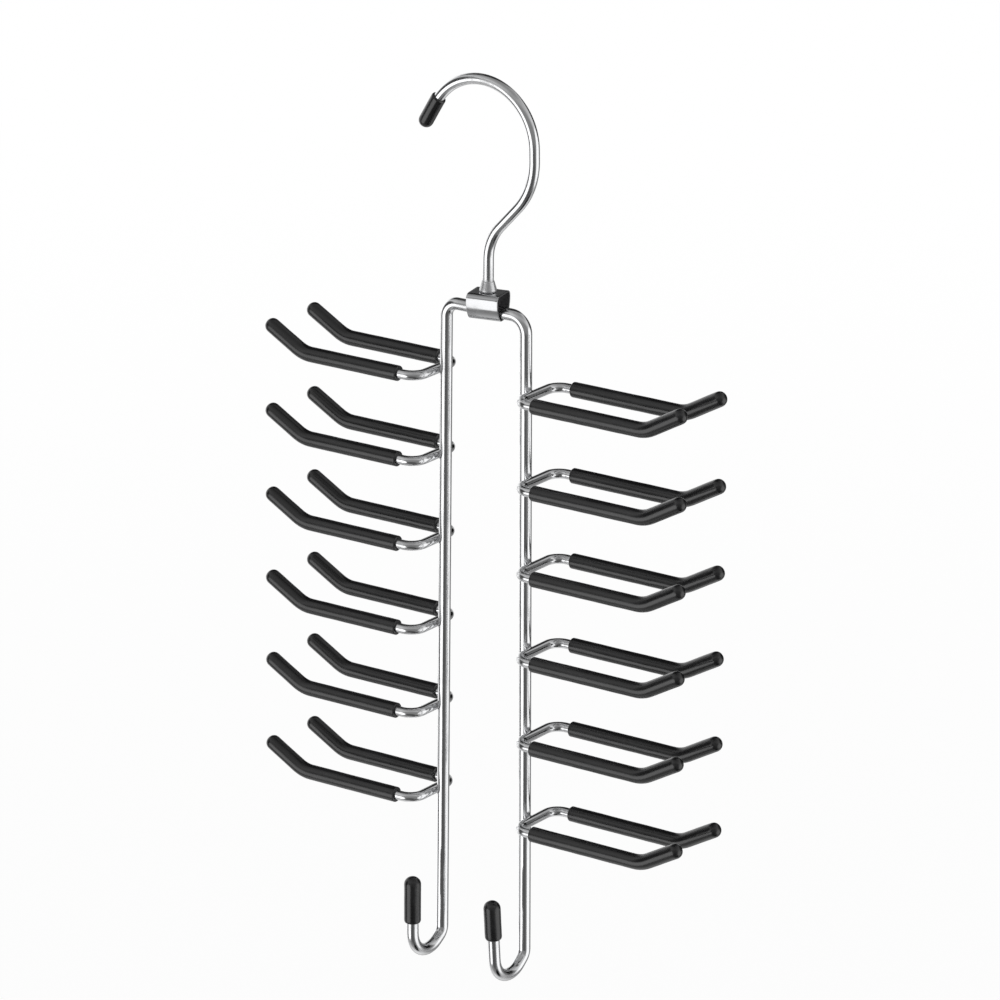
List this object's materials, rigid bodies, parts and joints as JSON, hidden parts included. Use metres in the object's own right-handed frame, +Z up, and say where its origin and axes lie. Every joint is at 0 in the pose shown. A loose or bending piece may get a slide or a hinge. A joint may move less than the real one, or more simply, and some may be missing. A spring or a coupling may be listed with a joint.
{
  "type": "tie and belt hanger",
  "caption": "Slim wire hanger with a swivel hook, rows of sleeved U-shaped arms on both legs for ties and two upturned belt hooks at the foot.",
  "frame": {"origin": "rod seat: the highest point inside the crown of the hook, where the hanger hangs on a rod", "axes": "+Z up, -Y towards the front with the belt hooks, +X to the right as seen from the front, in the plane of the frame"},
  "size_m": [0.2053, 0.0435, 0.3742],
  "materials": {
    "chrome_wire": "polished chrome plating on round steel wire",
    "chrome_sheet": "polished chrome plating on folded steel strip",
    "black_vinyl": "semi-matt black soft vinyl"
  },
  "bodies": {
    "hook": {"swivel_hook": "chrome_wire", "hook_tip_cap": "black_vinyl"},
    "frame": {"hanger_clip": "chrome_sheet", "hanger_frame": "chrome_wire", "belt_hook_cap_left": "black_vinyl", "belt_hook_cap_right": "black_vinyl", "arm_left_1": "chrome_wire", "arm_left_2": "chrome_wire", "arm_left_3": "chrome_wire", "arm_left_4": "chrome_wire", "arm_left_5": "chrome_wire", "arm_left_6": "chrome_wire", "arm_right_1": "chrome_wire", "arm_right_2": "chrome_wire", "arm_right_3": "chrome_wire", "arm_right_4": "chrome_wire", "arm_right_5": "chrome_wire", "arm_right_6": "chrome_wire", "sleeve_left_1_front": "black_vinyl", "sleeve_left_1_back": "black_vinyl", "sleeve_left_2_front": "black_vinyl", "sleeve_left_2_back": "black_vinyl", "sleeve_left_3_front": "black_vinyl", "sleeve_left_3_back": "black_vinyl", "sleeve_left_4_front": "black_vinyl", "sleeve_left_4_back": "black_vinyl", "sleeve_left_5_front": "black_vinyl", "sleeve_left_5_back": "black_vinyl", "sleeve_left_6_front": "black_vinyl", "sleeve_left_6_back": "black_vinyl", "sleeve_right_1_front": "black_vinyl", "sleeve_right_1_back": "black_vinyl", "sleeve_right_2_front": "black_vinyl", "sleeve_right_2_back": "black_vinyl", "sleeve_right_3_front": "black_vinyl", "sleeve_right_3_back": "black_vinyl", "sleeve_right_4_front": "black_vinyl", "sleeve_right_4_back": "black_vinyl", "sleeve_right_5_front": "black_vinyl", "sleeve_right_5_back": "black_vinyl", "sleeve_right_6_front": "black_vinyl", "sleeve_right_6_back": "black_vinyl"}
  },
  "joints": [
    {"name": "hook_swivel", "type": "hinge", "parent": "hook", "child": "frame", "pos_m": [0.0036, 0, -0.08375], "axis": [0, 0, 1], "continuous": true}
  ]
}
